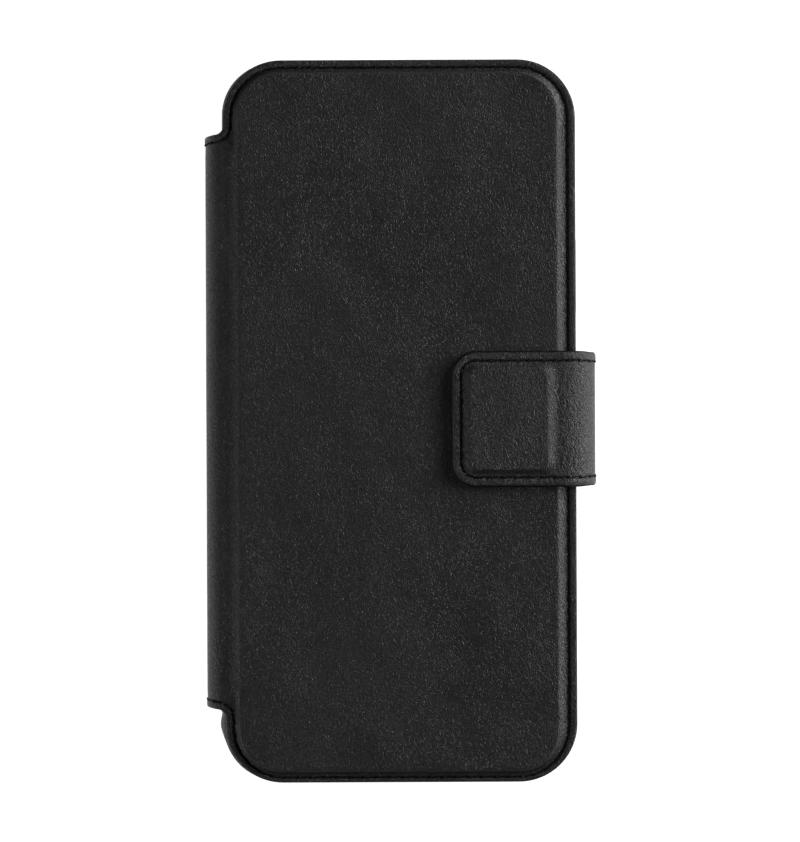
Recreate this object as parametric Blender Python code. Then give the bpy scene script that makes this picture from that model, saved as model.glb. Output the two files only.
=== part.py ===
"""Folding leather phone case with card pockets, a moulded phone shell and a strap closure.

The case lies closed on its back: +Z up through the front cover, +Y towards its top edge,
spine on the -X side, strap on the +X side. Origin under the middle of the case. Metres.
"""
import math

import bmesh
import bpy
from mathutils import Matrix, Vector

MM = 0.001
GAP = 0.25 * MM            # clearance between layers that touch in the real case

# Covers
COVER_X = 40.25 * MM       # half width of the front cover
COVER_Y = 82.5 * MM        # half height of both covers
COVER_R = 13.3 * MM        # corner radius of the front cover
REAR_SHIFT = -0.45 * MM    # the rear cover sits slightly towards the spine
REAR_R = 12.2 * MM
LEATHER = 0.9 * MM
BOARD = 0.7 * MM
CLOTH = 0.4 * MM
SHEET = 0.3 * MM           # thin leather of the pockets and the front lining
CORNER_STEPS = 7

# Spine, the folded strip that joins the covers
OUTER_X = 44.5 * MM        # outermost face of spine and strap
SPINE_TOP = 65.2 * MM
SPINE_BOTTOM = -65.8 * MM
BEND_R = 3.85 * MM         # outer radius where the leather turns a corner
BEND_X = OUTER_X - BEND_R
LOWER_SPLIT = math.radians(55)   # place of the lower fold line on its bend
UPPER_SPLIT = math.radians(45)   # place of the upper fold line on its bend
SPLIT_HALF = math.radians(2.2)   # half the clearance between two pieces at a fold line
BEND_STEPS = 4

# Heights of the layers, from the table up
REAR_BOARD_Z = LEATHER + GAP
REAR_LINING_Z = REAR_BOARD_Z + BOARD + GAP
SHELL_Z = REAR_LINING_Z + CLOTH + GAP
SHELL_FLOOR = 1.1 * MM
LINER_Z = SHELL_Z + SHELL_FLOOR + GAP
LIP_UNDER_Z = 12.7 * MM
SHELL_TOP_Z = 13.5 * MM
POCKET_Z = SHELL_TOP_Z + GAP
POCKET_COUNT = 3
CASH_Z = POCKET_Z + POCKET_COUNT * (SHEET + GAP)
FRONT_LINING_Z = CASH_Z + SHEET + GAP
FRONT_BOARD_Z = FRONT_LINING_Z + SHEET + GAP
FRONT_Z = FRONT_BOARD_Z + BOARD + GAP
BORDER_Z = FRONT_Z + LEATHER
PANEL_RISE = 0.9 * MM
PANEL_Z = BORDER_Z + PANEL_RISE

# Phone shell
SHELL_X = 40.1 * MM
SHELL_Y = 81.3 * MM
SHELL_CX = -0.35 * MM
SHELL_CY = -0.2 * MM
SHELL_R = 12.0 * MM
SHELL_WALL = 1.2 * MM
SHELL_LIP = 1.9 * MM
WINDOW_X, WINDOW_Y = 20.0 * MM, 59.0 * MM
WINDOW_HALF = 18.0 * MM
WINDOW_R = 8.0 * MM
RING_WIDTH = 1.2 * MM
PORT_HALF = 21.5 * MM
PORT_LOW, PORT_HIGH = 5.6 * MM, 11.4 * MM
BUTTON_LOW, BUTTON_HIGH = 6.2 * MM, 10.2 * MM
BUTTON_PROUD = 0.7 * MM
BUTTON_GAP = 0.3 * MM
BUTTON_INSET = 0.5 * MM    # how far a cap's back stays inside the wall
BUTTONS = {                # side of the shell, lower and upper end of the wall's window
    "volume_up_button": (-1, 30.0 * MM, 42.0 * MM),
    "volume_down_button": (-1, 16.0 * MM, 28.0 * MM),
    "action_button": (-1, 47.0 * MM, 54.0 * MM),
    "side_button": (1, 24.0 * MM, 42.0 * MM),
}

# Raised panel of the front cover
PANEL_LEFT, PANEL_RIGHT = -37.7 * MM, 38.0 * MM
PANEL_BOTTOM, PANEL_TOP = -80.6 * MM, 80.4 * MM
PANEL_R = 11.4 * MM
PANEL_SLOPE = 2.0 * MM
FOAM_INSET = 3.2 * MM
FOAM = 0.6 * MM
POCKET_MOUTHS = (-30.0 * MM, -20.0 * MM, -10.0 * MM)
CASH_LEFT = -34.5 * MM

# Strap
STRAP_LEATHER = 0.8 * MM
STRAP_TOP, STRAP_BOTTOM = 15.6 * MM, -14.9 * MM
TAB_LEFT = 12.0 * MM
TAB_R = 4.5 * MM
PAD_LEFT, PAD_RIGHT = 14.3 * MM, 35.5 * MM
PAD_BOTTOM, PAD_TOP = -12.9 * MM, 13.7 * MM
PAD_R = 2.6 * MM
PAD_SLOPE = 1.9 * MM
PAD_RISE = 0.8 * MM
TAB_LINING_Z = PANEL_Z + GAP
TAB_Z = TAB_LINING_Z + CLOTH + GAP
TAB_TOP_Z = TAB_Z + STRAP_LEATHER
MAGNET = 0.55 * MM

# Thread
THREAD_R = 0.22 * MM
THREAD_LIFT = THREAD_R + GAP
STITCH_INSET = 1.95 * MM
THREAD_STEP = 5.0 * MM

UP = Vector((0, 0, 1))
ALONG_Y = Vector((0, 1, 0))


def clear_scene():
    for obj in list(bpy.data.objects):
        bpy.data.objects.remove(obj)


def finish_material(obj, color, roughness, metallic=0.0):
    mat = bpy.data.materials.new(obj.name)
    mat.use_nodes = True
    shader = mat.node_tree.nodes["Principled BSDF"]
    shader.inputs["Base Color"].default_value = (*color, 1.0)
    shader.inputs["Roughness"].default_value = roughness
    shader.inputs["Metallic"].default_value = metallic
    mat.diffuse_color = (*color, 1.0)
    obj.data.materials.append(mat)


def black_leather(obj):
    finish_material(obj, (0.016, 0.016, 0.017), 0.55)


def lining_cloth(obj):
    finish_material(obj, (0.030, 0.030, 0.033), 0.9)


def stiff_board(obj):
    finish_material(obj, (0.16, 0.14, 0.12), 0.85)


def soft_foam(obj):
    finish_material(obj, (0.10, 0.10, 0.11), 0.95)


def shell_plastic(obj):
    finish_material(obj, (0.022, 0.022, 0.024), 0.4)


def magnet_steel(obj):
    finish_material(obj, (0.45, 0.45, 0.46), 0.35, 1.0)


def black_thread(obj):
    finish_material(obj, (0.006, 0.006, 0.007), 0.8)


def add_object(name, bm, origin=(0, 0, 0)):
    """Make the object of a closed bmesh, with its origin on the given point."""
    bmesh.ops.recalc_face_normals(bm, faces=bm.faces[:])
    bmesh.ops.translate(bm, verts=bm.verts[:], vec=-Vector(origin))
    mesh = bpy.data.meshes.new(name)
    bm.to_mesh(mesh)
    bm.free()
    obj = bpy.data.objects.new(name, mesh)
    obj.location = origin
    bpy.context.scene.collection.objects.link(obj)
    return obj


def arc(cx, cy, radius, start, steps=CORNER_STEPS):
    """A quarter turn from the start angle, counter-clockwise, both ends included."""
    angles = [math.radians(start + 90 * i / steps) for i in range(steps + 1)]
    return [(cx + radius * math.cos(a), cy + radius * math.sin(a)) for a in angles]


def rounded_rect(left, right, bottom, top, radius):
    return (arc(left + radius, bottom + radius, radius, 180)
            + arc(right - radius, bottom + radius, radius, 270)
            + arc(right - radius, top - radius, radius, 0)
            + arc(left + radius, top - radius, radius, 90))


def cover_outline(left, right, radius, strap=False):
    """A cover with its ear towards the spine and, on the rear, the strap's root."""
    bottom, top = -COVER_Y, COVER_Y
    points = [(-BEND_X, SPINE_TOP), (-BEND_X, SPINE_BOTTOM), (left, SPINE_BOTTOM)]
    points += arc(left + radius, bottom + radius, radius, 180)
    points += arc(right - radius, bottom + radius, radius, 270)
    if strap:
        points += [(right, STRAP_BOTTOM), (BEND_X, STRAP_BOTTOM)]
        points += [(BEND_X, STRAP_TOP), (right, STRAP_TOP)]
    points += arc(right - radius, top - radius, radius, 0)
    points += arc(left + radius, top - radius, radius, 90)
    return points + [(left, SPINE_TOP)]


def add_loop(bm, outline, z):
    return [bm.verts.new((x, y, z)) for x, y in outline]


def next_round(verts):
    """Each vertex of a loop with the one after it."""
    return list(zip(verts, verts[1:] + verts[:1]))


def loop_edges(bm, verts):
    return [bm.edges.get(pair) or bm.edges.new(pair) for pair in next_round(verts)]


def wall(bm, below, above):
    """Quads between two loops of equal count, corner to corner."""
    for (a, b), (d, c) in zip(next_round(below), next_round(above)):
        bm.faces.new((a, b, c, d))


def stack_loops(bm, loops):
    """Wall from each loop to the next, and a cap on the first and the last."""
    for below, above in zip(loops, loops[1:]):
        wall(bm, below, above)
    for end in (loops[0], loops[-1]):
        bm.faces.new(end)


def fill_ring(bm, *loops):
    edges = [e for verts in loops for e in loop_edges(bm, verts)]
    return bmesh.ops.triangle_fill(bm, use_beauty=True, edges=edges)["geom"]


def plate(bm, outline, low, high, holes=()):
    """A flat plate of the outline between two heights, with holes right through."""
    faces = fill_ring(bm, *[add_loop(bm, loop, low) for loop in (outline, *holes)])
    faces = [f for f in faces if isinstance(f, bmesh.types.BMFace)]
    raised = bmesh.ops.extrude_face_region(bm, geom=faces)["geom"]
    verts = [v for v in raised if isinstance(v, bmesh.types.BMVert)]
    bmesh.ops.translate(bm, verts=verts, vec=UP * (high - low))


def flat_piece(name, outline, low, thickness, holes=()):
    bm = bmesh.new()
    plate(bm, outline, low, low + thickness, holes)
    return add_object(name, bm)


def embossed_plate(bm, outline, low, high, rise, foot, crown):
    """A sheet with a raised field: foot and crown are its outline below and above."""
    rims = []
    for z in (low, high):
        outer, base = add_loop(bm, outline, z), add_loop(bm, foot, z)
        top = add_loop(bm, crown, z + rise)
        fill_ring(bm, outer, base)
        wall(bm, base, top)
        bm.faces.new(top)
        rims.append(outer)
    wall(bm, *rims)


def push_face(bm, face, move):
    """Extrude one face, move the new one and return it; inside a solid the old one goes."""
    inside = all(len(e.link_faces) > 1 for e in face.edges)
    out = bmesh.ops.extrude_face_region(bm, geom=[face])["geom"]
    if inside and face.is_valid:
        bmesh.ops.delete(bm, geom=[face], context='FACES_ONLY')
    verts = [v for v in out if isinstance(v, bmesh.types.BMVert)]
    bmesh.ops.transform(bm, matrix=move, verts=verts)
    return next(f for f in out if isinstance(f, bmesh.types.BMFace))


def turn_face(bm, face, center, angle, steps=BEND_STEPS):
    """Sweep a face about an axis along Y through the center."""
    turn = (Matrix.Translation(center) @ Matrix.Rotation(angle / steps, 4, ALONG_Y)
            @ Matrix.Translation(-center))
    for _ in range(steps):
        face = push_face(bm, face, turn)
    return face


def edge_face(bm, x):
    """The side face of a plate that stands at this x."""
    bm.faces.ensure_lookup_table()
    return min(bm.faces, key=lambda f: (max(abs(v.co.x - x) for v in f.verts), -f.calc_area()))


def bend_center(side, z_flat, up):
    """Middle of the bend that turns a flat outer face at this height into the side wall."""
    return Vector((side * BEND_X, 0, z_flat + (BEND_R if up else -BEND_R)))


def fold_point(side, z_flat, up, split):
    """The fold line's place on the outer face of a bend."""
    center = bend_center(side, z_flat, up)
    reach = Vector((side * math.sin(split), 0, -math.cos(split) if up else math.cos(split)))
    return center + BEND_R * reach


LOWER_FOLD = fold_point(-1, 0, True, LOWER_SPLIT)
UPPER_FOLD = fold_point(-1, BORDER_Z, False, UPPER_SPLIT)
STRAP_LOWER_FOLD = fold_point(1, 0, True, LOWER_SPLIT)
STRAP_UPPER_FOLD = fold_point(1, TAB_TOP_Z, False, UPPER_SPLIT)


def wall_strip(name, side, top_z, depth, thickness, low, high, origin):
    """A strip up the side of the case, from fold line to fold line, depth below the skin."""
    inner, outer = BEND_R - depth - thickness, BEND_R - depth
    start = LOWER_SPLIT + SPLIT_HALF
    below, above = bend_center(side, 0, True), bend_center(side, top_z, False)
    bm = bmesh.new()
    reach = Vector((side * math.sin(start), 0, -math.cos(start)))
    ring = [below + r * reach + ALONG_Y * y for r, y in
            ((inner, low), (outer, low), (outer, high), (inner, high))]
    face = bm.faces.new([bm.verts.new(p) for p in ring])
    face = turn_face(bm, face, below, -side * (math.radians(90) - start), 3)
    face = push_face(bm, face, Matrix.Translation(above - below))
    face = turn_face(bm, face, above, -side * (math.radians(90) - UPPER_SPLIT - SPLIT_HALF))
    return add_object(name, bm, origin)


def camera_window(grow=0.0):
    half, radius = WINDOW_HALF + grow, WINDOW_R + grow
    return rounded_rect(WINDOW_X - half, WINDOW_X + half, WINDOW_Y - half, WINDOW_Y + half, radius)


def rear_outline(inset):
    return rounded_rect(-COVER_X + REAR_SHIFT + inset, COVER_X + REAR_SHIFT - inset,
                        -COVER_Y + inset, COVER_Y - inset, REAR_R - inset)


def rear_leather():
    bm = bmesh.new()
    outline = cover_outline(-COVER_X, COVER_X + REAR_SHIFT, REAR_R, strap=True)
    plate(bm, outline, 0, LEATHER, [camera_window(RING_WIDTH + GAP)])
    swing = LOWER_SPLIT - SPLIT_HALF
    for side in (-1, 1):
        turn_face(bm, edge_face(bm, side * BEND_X), bend_center(side, 0, True), -side * swing)
    black_leather(add_object("rear_leather", bm))


def rear_layers():
    window = [camera_window(GAP)]
    stiff_board(flat_piece("rear_board", rear_outline(1.0 * MM), REAR_BOARD_Z, BOARD, window))
    lining_cloth(flat_piece("rear_lining", rear_outline(0.6 * MM), REAR_LINING_Z, CLOTH, window))
    ring = flat_piece("camera_ring", camera_window(RING_WIDTH), 0, LEATHER, [camera_window()])
    shell_plastic(ring)


def shell_outline(inset):
    return rounded_rect(SHELL_CX - SHELL_X + inset, SHELL_CX + SHELL_X - inset,
                        SHELL_CY - SHELL_Y + inset, SHELL_CY + SHELL_Y - inset, SHELL_R - inset)


def add_cutter(target, name, bm):
    cutter = add_object(name, bm)
    cutter.hide_render = True
    cutter.display_type = 'WIRE'
    cut = target.modifiers.new(name, 'BOOLEAN')
    cut.operation = 'DIFFERENCE'
    cut.object = cutter


def box(bm, low, high):
    center = (Vector(low) + Vector(high)) / 2
    size = Vector(high) - Vector(low)
    bmesh.ops.create_cube(bm, size=1, matrix=Matrix.LocRotScale(center, None, size))


def shell_wall_x(side):
    return SHELL_CX + side * SHELL_X


def phone_shell():
    """A tray whose wall ends in a lip that snaps over the phone's front edge."""
    edge = 0.5 * MM
    profile = [(edge, SHELL_Z), (0, SHELL_Z + edge), (0, SHELL_TOP_Z - edge), (edge, SHELL_TOP_Z),
               (SHELL_LIP, SHELL_TOP_Z), (SHELL_LIP, LIP_UNDER_Z), (SHELL_WALL, LIP_UNDER_Z),
               (SHELL_WALL, SHELL_Z + SHELL_FLOOR)]
    bm = bmesh.new()
    stack_loops(bm, [add_loop(bm, shell_outline(inset), z) for inset, z in profile])
    shell = add_object("phone_shell", bm)
    shell_plastic(shell)
    through = 3 * SHELL_WALL
    bm = bmesh.new()
    plate(bm, camera_window(), SHELL_Z - through, SHELL_Z + through)
    add_cutter(shell, "window_cutter", bm)
    bm = bmesh.new()
    bottom = SHELL_CY - SHELL_Y
    box(bm, (SHELL_CX - PORT_HALF, bottom - through, PORT_LOW),
        (SHELL_CX + PORT_HALF, bottom + through, PORT_HIGH))
    for side, low, high in BUTTONS.values():
        wall_x = shell_wall_x(side)
        box(bm, (wall_x - through, low, BUTTON_LOW), (wall_x + through, high, BUTTON_HIGH))
    add_cutter(shell, "slot_cutter", bm)


def shell_liner():
    liner = flat_piece("shell_liner", shell_outline(SHELL_WALL + GAP), LINER_Z, CLOTH,
                       [camera_window(GAP)])
    lining_cloth(liner)


def shell_button(name, side, low, high):
    """A cap in a window of the shell's wall, with its origin on its travel axis."""
    wall_x = shell_wall_x(side)
    outer = wall_x + side * BUTTON_PROUD
    inner = wall_x - side * (SHELL_WALL - BUTTON_INSET)
    bm = bmesh.new()
    box(bm, (min(inner, outer), low + BUTTON_GAP, BUTTON_LOW + BUTTON_GAP),
        (max(inner, outer), high - BUTTON_GAP, BUTTON_HIGH - BUTTON_GAP))
    rim = [e for e in bm.edges if all(abs(v.co.x - outer) < GAP / 2 for v in e.verts)]
    bmesh.ops.bevel(bm, geom=rim, offset=0.35 * MM, segments=2, profile=0.5, affect='EDGES')
    middle = (wall_x, (low + high) / 2, (BUTTON_LOW + BUTTON_HIGH) / 2)
    shell_plastic(add_object(name, bm, middle))


def spine():
    low, high = SPINE_BOTTOM, SPINE_TOP
    depth = LEATHER + GAP
    black_leather(wall_strip("spine_leather", -1, BORDER_Z, 0, LEATHER, low, high, LOWER_FOLD))
    inner_x = -OUTER_X + depth
    bottom_z, top_z = BEND_R, BORDER_Z - BEND_R
    bm = bmesh.new()
    box(bm, (inner_x, low + 1.0 * MM, bottom_z), (inner_x + CLOTH, high - 1.0 * MM, top_z))
    stiff_board(add_object("spine_board", bm, LOWER_FOLD))
    inner_x += CLOTH + GAP
    bm = bmesh.new()
    box(bm, (inner_x, low + 0.3 * MM, bottom_z - 0.6 * MM), (inner_x + SHEET, high - 0.3 * MM, top_z))
    lining_cloth(add_object("spine_lining", bm, LOWER_FOLD))


def panel_outline(inset):
    return rounded_rect(PANEL_LEFT + inset, PANEL_RIGHT - inset, PANEL_BOTTOM + inset,
                        PANEL_TOP - inset, PANEL_R - inset)


def front_outline(inset, left):
    """The front cover's outline, cut off straight on its left."""
    radius = COVER_R - inset
    whole = rounded_rect(-COVER_X + inset, COVER_X - inset, -COVER_Y + inset, COVER_Y - inset, radius)
    past = max(0, COVER_R - COVER_X - left)
    reach = COVER_Y - COVER_R + math.sqrt(radius * radius - past * past)
    kept = [(x, y) for x, y in whole if x > left + GAP]
    return [(left, -reach)] + kept + [(left, reach)]


def front_leather():
    bm = bmesh.new()
    outline = cover_outline(-COVER_X, COVER_X, COVER_R)
    embossed_plate(bm, outline, FRONT_Z, BORDER_Z, PANEL_RISE, panel_outline(0),
                   panel_outline(PANEL_SLOPE))
    swing = UPPER_SPLIT - SPLIT_HALF
    turn_face(bm, edge_face(bm, -BEND_X), bend_center(-1, BORDER_Z, False), -swing)
    black_leather(add_object("front_leather", bm, UPPER_FOLD))


def front_layers():
    foam = flat_piece("front_foam", panel_outline(FOAM_INSET), FRONT_Z, FOAM)
    soft_foam(foam)
    magnet_hole = magnet_outline(GAP)
    board = rounded_rect(PANEL_LEFT + GAP, COVER_X - 1.0 * MM, -COVER_Y + 1.0 * MM,
                         COVER_Y - 1.0 * MM, COVER_R - 1.0 * MM)
    stiff_board(flat_piece("front_board", board, FRONT_BOARD_Z, BOARD, [magnet_hole]))
    magnet_steel(flat_piece("cover_magnet", magnet_outline(0), FRONT_BOARD_Z, BOARD))
    lining = rounded_rect(-COVER_X + 0.5 * MM, COVER_X - 0.5 * MM, -COVER_Y + 0.5 * MM,
                          COVER_Y - 0.5 * MM, COVER_R - 0.5 * MM)
    lining_cloth(flat_piece("front_lining", lining, FRONT_LINING_Z, SHEET))


def magnet_outline(grow):
    """The flat magnet under the strap's pad."""
    return rounded_rect(PAD_LEFT + 3 * MM - grow, PAD_RIGHT - 3 * MM + grow,
                        PAD_BOTTOM + 3 * MM - grow, PAD_TOP - 3 * MM + grow, 1.0 * MM)


def front_pockets():
    """Three card pockets that open towards the spine, and a note pocket behind them."""
    inset = 0.8 * MM
    cash = front_outline(inset, CASH_LEFT)
    black_leather(flat_piece("cash_pocket", cash, CASH_Z, SHEET))
    for i, mouth in enumerate(POCKET_MOUTHS):
        z = CASH_Z - (i + 1) * (SHEET + GAP)
        sheet = front_outline(inset, mouth)
        black_leather(flat_piece(f"card_pocket_{i + 1}", sheet, z, SHEET))


def strap_band():
    depth = STRAP_LEATHER + GAP
    low, high = STRAP_BOTTOM, STRAP_TOP
    black_leather(wall_strip("strap_band_leather", 1, TAB_TOP_Z, 0, STRAP_LEATHER, low, high,
                             STRAP_LOWER_FOLD))
    inner = 0.4 * MM
    lining_cloth(wall_strip("strap_band_lining", 1, TAB_TOP_Z, depth, CLOTH, low + inner,
                            high - inner, STRAP_LOWER_FOLD))


def tab_outline(inset, right):
    radius = TAB_R - inset
    left, bottom, top = TAB_LEFT + inset, STRAP_BOTTOM + inset, STRAP_TOP - inset
    return (arc(left + radius, bottom + radius, radius, 180) + [(right, bottom), (right, top)]
            + arc(left + radius, top - radius, radius, 90))


def pad_outline(inset):
    return rounded_rect(PAD_LEFT + inset, PAD_RIGHT - inset, PAD_BOTTOM + inset,
                        PAD_TOP - inset, PAD_R - inset)


def strap_tab():
    swing = UPPER_SPLIT - SPLIT_HALF
    center = bend_center(1, TAB_TOP_Z, False)
    bm = bmesh.new()
    embossed_plate(bm, tab_outline(0, BEND_X), TAB_Z, TAB_TOP_Z, PAD_RISE, pad_outline(0),
                   pad_outline(PAD_SLOPE))
    turn_face(bm, edge_face(bm, BEND_X), center, swing)
    black_leather(add_object("strap_tab_leather", bm, STRAP_UPPER_FOLD))
    bm = bmesh.new()
    plate(bm, tab_outline(0.4 * MM, BEND_X), TAB_LINING_Z, TAB_LINING_Z + CLOTH)
    turn_face(bm, edge_face(bm, BEND_X), center, swing)
    lining_cloth(add_object("strap_tab_lining", bm, STRAP_UPPER_FOLD))
    magnet_steel(flat_piece("strap_magnet", magnet_outline(0), TAB_Z, MAGNET))
    frame = flat_piece("strap_stiffener", pad_outline(PAD_SLOPE + GAP), TAB_Z, MAGNET,
                       [magnet_outline(GAP)])
    stiff_board(frame)


def thread_points(route):
    """Points along a route, no further apart than the thread's step."""
    points = [Vector(route[0])]
    for a, b in zip(route, route[1:]):
        run = Vector(b) - Vector(a)
        parts = max(1, math.ceil(run.length / THREAD_STEP))
        points += [Vector(a) + run * (i + 1) / parts for i in range(parts)]
    return points


def thread(name, route, z):
    curve = bpy.data.curves.new(name, 'CURVE')
    curve.dimensions = '3D'
    curve.bevel_depth = THREAD_R
    curve.bevel_resolution = 1
    curve.use_fill_caps = True
    spline = curve.splines.new('POLY')
    points = thread_points(route)
    spline.points.add(len(points) - 1)
    for point, place in zip(spline.points, points):
        point.co = (place.x, place.y, z, 1)
    obj = bpy.data.objects.new(name, curve)
    bpy.context.scene.collection.objects.link(obj)
    black_thread(obj)


def stitching():
    """The seam's thread, one line round the front cover and one round the strap's tab."""
    inset = STITCH_INSET
    radius = COVER_R - inset
    x, y = COVER_X - inset, COVER_Y - inset
    route = [(-BEND_X, SPINE_BOTTOM + inset), (-x, SPINE_BOTTOM + inset)]
    route += arc(-x + radius, -y + radius, radius, 180) + arc(x - radius, -y + radius, radius, 270)
    route += arc(x - radius, y - radius, radius, 0) + arc(-x + radius, y - radius, radius, 90)
    route += [(-x, SPINE_TOP - inset), (-BEND_X, SPINE_TOP - inset)]
    thread("front_stitching", route, BORDER_Z + THREAD_LIFT)
    edge = tab_outline(STITCH_INSET, BEND_X)
    corner = CORNER_STEPS + 1
    route = [edge[corner]] + edge[:corner][::-1] + edge[corner + 2:][::-1] + [edge[corner + 1]]
    thread("strap_stitching", route, TAB_TOP_Z + THREAD_LIFT)


def build():
    clear_scene()
    rear_leather()
    rear_layers()
    phone_shell()
    shell_liner()
    for name, place in BUTTONS.items():
        shell_button(name, *place)
    spine()
    front_leather()
    front_layers()
    front_pockets()
    strap_band()
    strap_tab()
    stitching()


build()
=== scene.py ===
"""Finish of the folding phone case: leather skins, seams, linings, pockets, shell and stage."""
import math

import bmesh
import bpy
from bpy.props import FloatProperty, FloatVectorProperty, PointerProperty
from mathutils import Matrix, Vector, noise


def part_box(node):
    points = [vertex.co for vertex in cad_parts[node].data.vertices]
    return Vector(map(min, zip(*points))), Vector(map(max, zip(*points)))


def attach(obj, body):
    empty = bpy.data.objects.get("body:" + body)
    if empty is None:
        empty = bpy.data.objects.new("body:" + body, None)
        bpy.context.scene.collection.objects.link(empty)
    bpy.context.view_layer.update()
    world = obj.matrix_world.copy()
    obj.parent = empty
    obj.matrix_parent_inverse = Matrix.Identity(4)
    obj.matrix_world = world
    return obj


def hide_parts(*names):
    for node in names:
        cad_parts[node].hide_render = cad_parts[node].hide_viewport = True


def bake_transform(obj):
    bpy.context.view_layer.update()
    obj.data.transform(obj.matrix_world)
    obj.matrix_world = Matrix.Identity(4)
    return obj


bl_info = {
    "name": "Leather Phone Case",
    "version": (1, 0, 0),
    "blender": (4, 5, 0),
    "location": "View3D > Sidebar > Phone Case",
    "description": "Builds the finished leather phone case around its packed frame",
    "category": "Object",
}

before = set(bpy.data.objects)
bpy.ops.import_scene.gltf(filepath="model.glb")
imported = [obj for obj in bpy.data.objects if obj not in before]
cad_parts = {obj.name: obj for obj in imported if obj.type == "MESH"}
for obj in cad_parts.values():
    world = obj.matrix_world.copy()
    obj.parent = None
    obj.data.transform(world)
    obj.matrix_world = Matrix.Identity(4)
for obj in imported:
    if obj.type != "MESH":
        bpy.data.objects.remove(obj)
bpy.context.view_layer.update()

MM = 0.001

# Places read from the frame
FRONT_LOW, FRONT_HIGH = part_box("front_leather")
SPINE_LOW, SPINE_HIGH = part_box("spine_leather")
TAB_LOW, TAB_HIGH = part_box("strap_tab_leather")
OUTER_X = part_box("strap_band_leather")[1].x
SHELL_LOW, SHELL_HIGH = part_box("phone_shell")
LINER_LOW, LINER_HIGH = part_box("shell_liner")
RING_LOW, RING_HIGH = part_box("camera_ring")

# Leather construction
PANEL_RISE = 0.9 * MM
PAD_RISE = 0.8 * MM
FOOT_DEPTH = 0.1 * MM           # the foot of panel and pad lies a little below the border
BEVEL_STEPS = 12
BEND_CUTS = 14                  # cuts that let a flat sheet turn round a bend
WALL_CUTS = 3                   # and those where it runs up a side
BORDER_Z = FRONT_HIGH.z - PANEL_RISE
TAB_TOP_Z = TAB_HIGH.z - PAD_RISE
BEND_R = 3.85 * MM
BEND_X = OUTER_X - BEND_R
BEND_LENGTH = BEND_R * math.pi / 2
COVER_R = 13.3 * MM
REAR_R = 12.2 * MM
REAR_SHIFT = -0.45 * MM
EAR_R = 1.7 * MM
EAR_RISE = 0.5 * MM             # the spine's top end is a little wider than its fold
LEATHER = 0.9 * MM
SANDWICH = 2.1 * MM
FLAP = 0.2 * MM
PANEL_LEFT, PANEL_RIGHT = -38.1 * MM, 38.25 * MM
PANEL_BOTTOM, PANEL_TOP = -80.75 * MM, 80.45 * MM
PANEL_R = 11.3 * MM
PANEL_BEVEL = 2.5 * MM
WINDOW_R = 9.4 * MM
PANEL_SLOPES = (0.6, 0.48)     # width of the left bevel, and of the upper and lower ones, to the right one
CREASE_X = -36.6 * MM
CREASE_DEPTH, CREASE_HALF = 0.12 * MM, 0.3 * MM
RAMP_X = -39.6 * MM
BOTTOM_SEAM = 0.66           # how close the seam keeps to the bottom edge, against the others
NIP_Y = SPINE_LOW.y - 3.6 * MM
NIP_WIDTH = 3.0 * MM
FRONT_NIP, REAR_NIP = 0.25 * MM, -1.0 * MM     # how far the corner below the spine moves right
REAR_FLARE = 0.9 * MM
CENTER_Y = {-1: (SPINE_LOW.y + SPINE_HIGH.y) / 2, 1: (TAB_LOW.y + TAB_HIGH.y) / 2}
NARROWING = {-1: 0.0105, 1: 0.018}         # share of its width that spine or strap loses in its bend
SLACK = {-1: -0.1 * MM, 1: 0.3 * MM}       # how far spine or strap stands off its CAD side

# Thread, and thread-coloured marks at the needle holes: partly thread, partly painted shade of the holes
PITCH = 3.0 * MM
STITCH_HEIGHT = 0.36 * MM
STITCH_TURN = 9                 # degrees that a stitch lies across its seam
HOLE_SHADE = (1.1 * MM, 0.62 * MM, 0.24 * MM)    # length, width and height of the mark round a needle hole: partly the thread in the hole, partly painted shade of the hole
HOLE_TURN = 38
HOLE_ASIDE = 0.1 * MM
HOLE_SUNK = 0.02 * MM
SEAM_DEPTH = 0.06 * MM
REAR_SEAM_DEPTH = 0.26 * MM
CHANNEL, REAR_CHANNEL = 0.22 * MM, 0.34 * MM

# Grain of the leather: scales of its noises, and how the flecks are turned and drawn out
FLECK_SCALE, PORE_SCALE, WRINKLE_SCALE, PATCH_SCALE, DRIFT_SCALE = 3900, 7500, 1500, 32, 55
DRIFT = 3 * MM
GRAIN_TURN = 14
GRAIN_STRETCH = 1.7
GRAIN_HEIGHT = 0.22 * MM


# ---------------------------------------------------------------- settings

class CaseSizes(bpy.types.PropertyGroup):
    """Sizes of the finish that a user may want to change."""

    seam_inset: FloatProperty(
        name="Seam inset", description="Distance of the seam from the leather's edge",
        default=1.8 * MM, unit='LENGTH')
    strap_seam_inset: FloatProperty(
        name="Strap seam inset", description="Distance of the seam from the strap's edge",
        default=1.95 * MM, unit='LENGTH')
    stitch_length: FloatProperty(
        name="Stitch", description="Length of a visible stitch", default=2.75 * MM, unit='LENGTH')
    stitch_width: FloatProperty(
        name="Thread", description="Width of the seam's thread", default=0.27 * MM, unit='LENGTH')
    softness: FloatProperty(
        name="Softness", description="Height of the leather's slow waves",
        default=0.02 * MM, unit='LENGTH')
    corner: FloatProperty(
        name="Shell edge", description="Rounding of the shell's edges",
        default=0.6 * MM, unit='LENGTH')


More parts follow.
